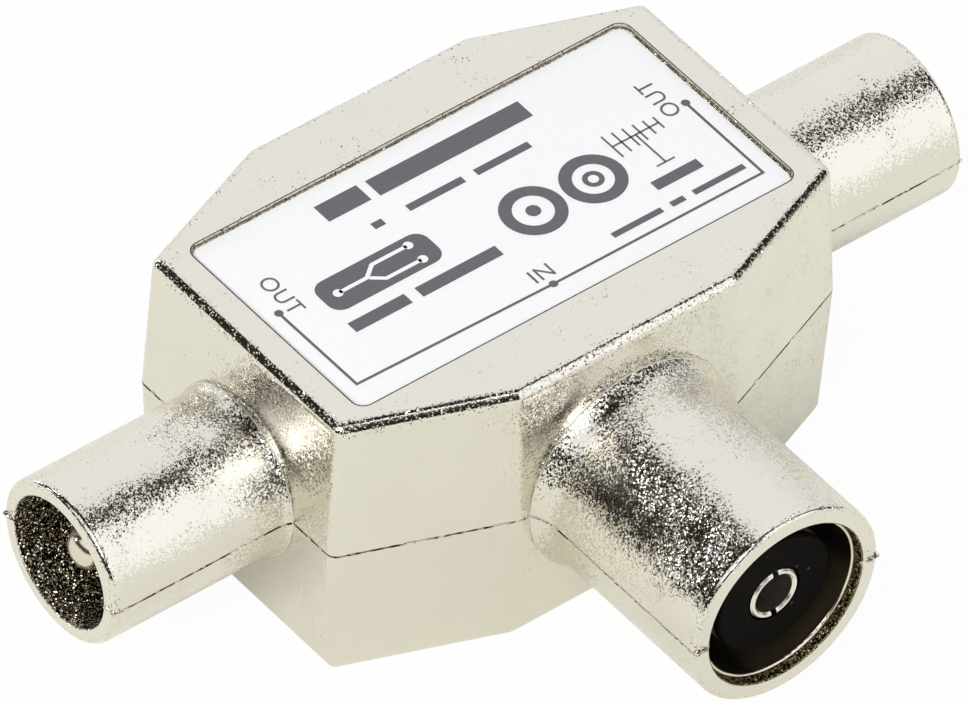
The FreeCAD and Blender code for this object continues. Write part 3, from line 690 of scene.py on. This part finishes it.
finish(turned_plate("nickel_on_brass", "DDD6C4", 0.2, 0.2),
       "input_sleeve", "left_output_pin", "right_output_pin")
finish(turned_plate("tin_on_bronze", "E8E4D8", 0.26, 0.12), "input_contact")
print("turnings plated")

# %% [markdown]
# The insulators are black moulded plastic. It is matt and its index is low, so it takes little of
# the bright room. It holds a few specks of pale dust. Everything more than a set depth behind the
# input's mouth, the bottom of the ring-shaped space in the input and so all of the output
# insulators, is a lighter grey-brown: painted light that lifts the shade there.

# %% Black moulded plastic
MATT_INDEX = 1.12
DUST_SPACING = 0.9
DUST_CORE, DUST_EDGE = 0.04, 0.07
LIFTED_FROM = 1.4


def black_plastic():
    """Black plastic with specks of dust, lightened deep inside as painted light."""
    material, tree, shader = new_finish("black_moulded_plastic", "090604", 0.0, 0.6)
    shader.inputs["IOR"].default_value = MATT_INDEX
    where = millimetres(tree)
    dust = add(tree, "ShaderNodeTexVoronoi", {"Scale": 1 / DUST_SPACING}, {"Vector": where})
    spot = {"From Min": DUST_CORE, "From Max": DUST_EDGE, "To Min": 1, "To Max": 0}
    speck = add(tree, "ShaderNodeMapRange", spot, {"Value": dust.outputs["Distance"]})
    colour = add(tree, "ShaderNodeMix", {"A": linear("090604"), "B": linear("6E6555")},
                 {"Factor": speck.outputs[0]}, data_type="RGBA")
    parts = add(tree, "ShaderNodeSeparateXYZ", None, {0: where})
    # Deeper than this behind the input's mouth the colour is lifted: painted light against the
    # shade.
    deep = add(tree, "ShaderNodeMath", {1: mouth_y / MM + LIFTED_FROM},
               {0: parts.outputs["Y"]}, operation="GREATER_THAN")
    lifted_deep = add(tree, "ShaderNodeMix", {"B": linear("5E554C")},
                  {"Factor": deep.outputs[0], "A": colour.outputs["Result"]}, data_type="RGBA")
    tree.links.new(lifted_deep.outputs["Result"], shader.inputs["Base Color"])
    skin = grain(tree, where, 0.15)
    relief(tree, shader, skin.outputs[0], 0.01)
    return material


finish(black_plastic(), "input_insulator", "left_output_insulator", "right_output_insulator")
print("dust settles from", LIFTED_FROM, "mm behind the input's mouth")

# %% [markdown]
# The label is a white plastic film with a slight sheen. Film is never quite flat once it is
# stuck down, so a very soft bump moves its sheen a little.

# %% Label film
FILM_INDEX = 1.5
WAVE_SIZE, WAVE_DEPTH = 3.0, 0.02


def label_film():
    """White film with a faint tone and soft waves."""
    material, tree, shader = new_finish("white_label_film", "ECECEC", 0.0, 0.42)
    shader.inputs["IOR"].default_value = FILM_INDEX
    where = millimetres(tree)
    tone = grain(tree, where, 0.5, 4.0)
    colour = add(tree, "ShaderNodeMix", {"A": linear("E7E7E5"), "B": linear("EDEDEB")},
                 {"Factor": tone.outputs[0]}, data_type="RGBA")
    tree.links.new(colour.outputs["Result"], shader.inputs["Base Color"])
    waves = grain(tree, where, WAVE_SIZE)
    relief(tree, shader, waves.outputs[0], WAVE_DEPTH)
    return material


film = label_film()
finish(film, "printed_label")
print("waves of the film", WAVE_SIZE, "mm wide")

# %% [markdown]
# Inside the housing are the board and its parts. Nobody sees them through the closed metal, but
# each still gets the finish that it has on a bench.

# %% Board, cores, wire and solder
finish(grained_finish("paper_laminate", "A9884C", "C2A468", 0.0, 0.5, 0.4, 0.01), "circuit_board")
finish(grained_finish("copper_foil", "B8734A", "C98660", 1.0, 0.32, 0.3, 0.004), "copper_tracks")
finish(grained_finish("pressed_ferrite", "26262A", "34343A", 0.0, 0.7, 0.12, 0.02),
       "matching_core", "splitting_core")
finish(grained_finish("enamelled_copper_wire", "8E3F1C", "A85328", 0.7, 0.25, 0.5, 0.003),
       "matching_winding", "splitting_winding")
finish(grained_finish("tin_lead_solder", "BDBDBA", "CFCFCB", 1.0, 0.28, 0.5, 0.01),
       "input_solder", "left_output_solder", "right_output_solder")
print("board, cores, wire and solder done")

# %% [markdown]
# A chip is a ceramic block whose two ends are tinned. Generated coordinates run from 0 to 1
# along each piece, so one finish finds the ends of every chip, whatever its length.

# %% Chips
TINNED_FROM = 0.3


def chip_finish(name, colour):
    """A ceramic chip with tinned ends."""
    material, tree, shader = new_finish(name, colour, 0.0, 0.45)
    own = add(tree, "ShaderNodeTexCoord")
    parts = add(tree, "ShaderNodeSeparateXYZ", None, {0: own.outputs["Generated"]})
    off = add(tree, "ShaderNodeMath", {1: 0.5}, {0: parts.outputs["X"]}, operation="SUBTRACT")
    off = add(tree, "ShaderNodeMath", None, {0: off.outputs[0]}, operation="ABSOLUTE")
    end = add(tree, "ShaderNodeMath", {1: TINNED_FROM}, {0: off.outputs[0]},
              operation="GREATER_THAN")
    shade = add(tree, "ShaderNodeMix", {"A": linear(colour), "B": linear("C8C8C4")},
                {"Factor": end.outputs[0]}, data_type="RGBA")
    tree.links.new(shade.outputs["Result"], shader.inputs["Base Color"])
    tree.links.new(end.outputs[0], shader.inputs["Metallic"])
    skin = grain(tree, millimetres(tree), 0.1)
    relief(tree, shader, skin.outputs[0], 0.005)
    return material


finish(chip_finish("ceramic_capacitor", "B08A5E"), "input_capacitor", "left_output_capacitor",
       "right_output_capacitor", "compensation_capacitor")
finish(chip_finish("chip_resistor", "1E1E22"), "isolation_resistor")
print("chips done")

# %% [markdown]
# The print is one dark grey ink. It lies on the film as flat shapes a hundredth of a millimetre
# above it: a line that joins the three ports, their words, and plain fields and drawings.

# %% Ink
PRINT_LIFT = 0.01
LAYER = 0.002
print_height = label_high.z + PRINT_LIFT * MM


def printing_ink():
    """Dark grey ink with a faint tone."""
    material, tree, shader = new_finish("dark_grey_ink", "5A5A5C", 0.0, 0.5)
    tone = grain(tree, millimetres(tree), 0.25, 3.0)
    colour = add(tree, "ShaderNodeMix", {"A": linear("535355"), "B": linear("626264")},
                 {"Factor": tone.outputs[0]}, data_type="RGBA")
    tree.links.new(colour.outputs["Result"], shader.inputs["Base Color"])
    relief(tree, shader, tone.outputs[0], 0.004)
    return material


ink = printing_ink()
print("ink at", round(print_height / MM, 3), "mm")

# %% [markdown]
# Flat outlines filled by Blender's curves give clean edges. A shape of the print is a list of
# layers, and each layer is filled by itself, so that an outline in a layer cuts a hole but
# shapes of two layers may overlap.

# %% Outlines as a print
def flat_curve(name, outlines):
    """A filled flat curve from closed outlines in millimetres. An outline in another is a hole."""
    data = bpy.data.curves.new(name, "CURVE")
    data.dimensions = "2D"
    data.fill_mode = "BOTH"
    for points in outlines:
        spline = data.splines.new("POLY")
        spline.points.add(len(points) - 1)
        for point, (x, y) in zip(spline.points, points):
            point.co = (x * MM, y * MM, 0, 1)
        spline.use_cyclic_u = True
    return bpy.data.objects.new(name, data)


def as_print(layers, name, x=0.0, y=0.0, turn_degrees=0.0, height=0.0, material=ink):
    """Layers as one mesh on the label, riding on the splitter.

    Each layer is a list of closed outlines, or a curve object such as a word.
    """
    printed = bmesh.new()
    for layer in layers:
        shape = flat_curve(name, layer) if isinstance(layer, list) else layer
        scene.collection.objects.link(shape)
        shape.location = (x * MM, y * MM, print_height + height * MM)
        shape.rotation_euler = (0, 0, math.radians(turn_degrees))
        bpy.context.view_layer.update()
        filled = shape.evaluated_get(bpy.context.evaluated_depsgraph_get())
        flat = bpy.data.meshes.new_from_object(filled)
        flat.transform(shape.matrix_world)
        printed.from_mesh(flat)
        bpy.data.objects.remove(shape)
    mesh = bpy.data.meshes.new(name)
    printed.to_mesh(mesh)
    printed.free()
    mesh.materials.append(material)
    piece = bpy.data.objects.new(name, mesh)
    scene.collection.objects.link(piece)
    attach(piece, "root")


print("prints lie", PRINT_LIFT, "mm above the film")

# %% [markdown]
# Three kinds of outline are enough for the whole label: bars, discs, and the stroke that a pen of
# some width leaves along a line.

# %% Kinds of outline
CORNER_STEPS = 6
DISC_STEPS = 40
LEAST_MITRE = 0.3


def bar(x_from, x_to, y_from, y_to, corner=0.0):
    """A bar as an outline, with rounded corners."""
    if corner == 0:
        return [(x_from, y_from), (x_to, y_from), (x_to, y_to), (x_from, y_to)]
    points = []
    centres = ((x_to - corner, y_from + corner, -90), (x_to - corner, y_to - corner, 0),
               (x_from + corner, y_to - corner, 90), (x_from + corner, y_from + corner, 180))
    for x, y, start in centres:
        for step in range(CORNER_STEPS + 1):
            angle = math.radians(start + step * 90 / CORNER_STEPS)
            points.append((x + corner * math.cos(angle), y + corner * math.sin(angle)))
    return points


def disc(x, y, radius):
    """A circle as an outline."""
    angles = [2 * math.pi * i / DISC_STEPS for i in range(DISC_STEPS)]
    return [(x + radius * math.cos(angle), y + radius * math.sin(angle)) for angle in angles]


def stroke(points, width):
    """The outline of a drawn line of that width, with mitred corners."""
    left, right = [], []
    for i, point in enumerate(points):
        here = Vector(point)
        before = (here - Vector(points[i - 1])).normalized() if i > 0 else None
        after = (Vector(points[i + 1]) - here).normalized() if i < len(points) - 1 else None
        ahead = ((before or after) + (after or before)).normalized()
        side = Vector((-ahead.y, ahead.x))
        spread = width / 2 / max(LEAST_MITRE, ahead.dot(after or before))
        left.append(tuple(here + side * spread))
        right.append(tuple(here - side * spread))
    return left + right[::-1]


print("a rounded bar has", len(bar(0, 1, 0, 1, 0.1)), "points")

# %% [markdown]
# A thin dark line runs round the rim of the recess. It is painted shade of the recess's edge, and
# it lies on the metal just outside the rim.

# %% Dark line round the recess
RECESS_GAP = 0.12
RECESS_CORNER = 0.7
RIM_LINE = 0.07

# Dark grey-brown painted shade for the line round the recess.
recess_shade_paint = grained_finish("painted_recess_shade", "2C2822", "4A443A", 0.0, 0.7, 0.2, 0.004)
left, front = label_low.x / MM - RECESS_GAP, label_low.y / MM - RECESS_GAP
right, rear = label_high.x / MM + RECESS_GAP, label_high.y / MM + RECESS_GAP
outer = bar(left - RIM_LINE, right + RIM_LINE, front - RIM_LINE, rear + RIM_LINE,
            RECESS_CORNER + RIM_LINE)
inner = bar(left, right, front, rear, RECESS_CORNER)
as_print([[outer, inner]], "recess_rim_line",
         height=(body_high.z - print_height) / MM + 2 * LAYER, material=recess_shade_paint)
print("recess", round(right - left, 1), "x", round(rear - front, 1), "mm")

# %% [markdown]
# The signal line runs from one output, along the front of the label past the input and up to
# the other output, with a dot at each port. The words stand beside the dots.

# %% Signal line and port words
LINE_WIDTH = 0.17
DOT_RADIUS = 0.25
LEFT_DOT, LEFT_CORNER = (-13.38, 0.92), (-13.34, -5.62)
INPUT_DOT = (-0.6, -5.87)
RIGHT_CORNER, RIGHT_DOT = (13.38, -5.88), (13.42, 0.67)
WORD_SIZE = 1.42
LETTER_SPACING = 1.05

signal = stroke([LEFT_DOT, LEFT_CORNER, INPUT_DOT, RIGHT_CORNER, RIGHT_DOT], LINE_WIDTH)
as_print([[signal]], "signal_line")
for name, place in (("left", LEFT_DOT), ("input", INPUT_DOT), ("right", RIGHT_DOT)):
    as_print([[disc(*place, DOT_RADIUS)]], name + "_port_dot", height=LAYER)


def word(text, name, x, y, turn_degrees):
    """A word on the label, centred on the place."""
    data = bpy.data.curves.new(name, "FONT")
    data.body = text
    data.size = WORD_SIZE * MM
    data.align_x = "CENTER"
    data.align_y = "CENTER"
    data.space_character = LETTER_SPACING
    as_print([bpy.data.objects.new(name, data)], name, x, y, turn_degrees)


word("OUT", "left_port_word", -12.5, 1.92, -90)
word("OUT", "right_port_word", 12.5, 1.75, 90)
word("IN", "input_port_word", -0.62, -4.93, 0)
print("line", LINE_WIDTH, "mm wide, words", WORD_SIZE, "mm high")

# %% [markdown]
# The rest of the label is plain bars, a panel with rounded corners and simple drawings of what
# the part does. Each bar is given by its ends and its sides in millimetres.

# %% Bars and panel
TITLE = [bar(-7.1, -4.3, 4.75, 6.1), bar(-3.75, 6.4, 4.7, 6.05)]
RANGE = [bar(-5.5, -4.8, 2.85, 3.35), bar(-3.2, 0.5, 2.85, 3.35), bar(1.3, 4.9, 2.85, 3.35)]
NOTES = [bar(-11.0, -7.3, -2.6, -1.8), bar(-6.6, -1.3, -2.6, -1.8)]
SMALL_PRINT = [bar(4.1, 7.4, -5.1, -4.7), bar(8.0, 8.9, -5.1, -4.7), bar(9.5, 12.9, -5.1, -4.7)]
FIELDS = (("title", TITLE), ("range", RANGE), ("notes", NOTES), ("small_print", SMALL_PRINT))
for name, outlines in FIELDS:
    as_print([outlines], name + "_bars")

PANEL = bar(-11.0, -3.7, -0.95, 1.5, 0.8)
as_print([[PANEL]], "splitter_panel")
print("bars:", sum(len(outlines) for name, outlines in FIELDS))

# %% [markdown]
# On the panel, in the white of the film, one line becomes two, as the signal does. Beside it are
# the end of a plug, the end of a socket and an aerial.

# %% Drawings on the label
BRANCH_WIDTH, BRANCH_DOT = 0.24, 0.28
BRANCH = [
    [stroke([(-9.9, 0.27), (-8.1, 0.27), (-7.3, 0.9), (-5.0, 0.9)], BRANCH_WIDTH)],
    [stroke([(-8.0, 0.2), (-7.3, -0.36), (-5.0, -0.36)], BRANCH_WIDTH)],
    [disc(-10.0, 0.27, BRANCH_DOT)],
    [disc(-4.9, 0.9, BRANCH_DOT)],
    [disc(-4.9, -0.36, BRANCH_DOT)],
]
as_print(BRANCH, "splitter_drawing", height=2 * LAYER, material=film)

RING_RADIUS, RING_WIDTH = 1.85, 0.72
PLUG_AT, PLUG_PIN = (1.95, -0.95), 0.42
SOCKET_AT, CONTACT_RADIUS, CONTACT_HOLE = (5.95, -0.95), 0.6, 0.3
plug_ring = [disc(*PLUG_AT, RING_RADIUS), disc(*PLUG_AT, RING_RADIUS - RING_WIDTH)]
as_print([plug_ring, [disc(*PLUG_AT, PLUG_PIN)]], "plug_drawing")
socket_ring = [disc(*SOCKET_AT, RING_RADIUS), disc(*SOCKET_AT, RING_RADIUS - RING_WIDTH)]
contact = [disc(*SOCKET_AT, CONTACT_RADIUS), disc(*SOCKET_AT, CONTACT_HOLE)]
as_print([socket_ring, contact], "socket_drawing")
print("rings", RING_WIDTH, "mm wide")

# %% [markdown]
# The aerial has a boom with rods that grow shorter towards its front, and a mast on a foot.

# %% Aerial
AERIAL_WIDTH = 0.12
AERIAL_LEFT, AERIAL_RIGHT, BOOM_Y, FOOT_Y = 8.25, 11.35, 0.35, -2.2
ROD_COUNT = 6
LONGEST_ROD, ROD_LOSS = 0.95, 0.45
HALF_FOOT = 0.6

aerial = [[stroke([(AERIAL_LEFT, BOOM_Y), (AERIAL_RIGHT, BOOM_Y)], AERIAL_WIDTH)]]
for i in range(ROD_COUNT):
    along = i / (ROD_COUNT - 1)
    x = AERIAL_LEFT + (AERIAL_RIGHT - AERIAL_LEFT) * along
    reach = LONGEST_ROD - ROD_LOSS * along
    aerial.append([stroke([(x, BOOM_Y - reach), (x, BOOM_Y + reach)], AERIAL_WIDTH)])
mast_x = (AERIAL_LEFT + AERIAL_RIGHT) / 2
aerial.append([stroke([(mast_x, BOOM_Y), (mast_x, FOOT_Y)], AERIAL_WIDTH)])
aerial.append([stroke([(mast_x - HALF_FOOT, FOOT_Y), (mast_x + HALF_FOOT, FOOT_Y)],
                      AERIAL_WIDTH)])
as_print(aerial, "aerial_drawing")
as_print([[bar(8.15, 11.2, -3.66, -2.95)]], "aerial_bar")
print("rods of the aerial:", ROD_COUNT)

# %% [markdown]
# The last cell closes the lesson.

# %% The end
print("lesson done")
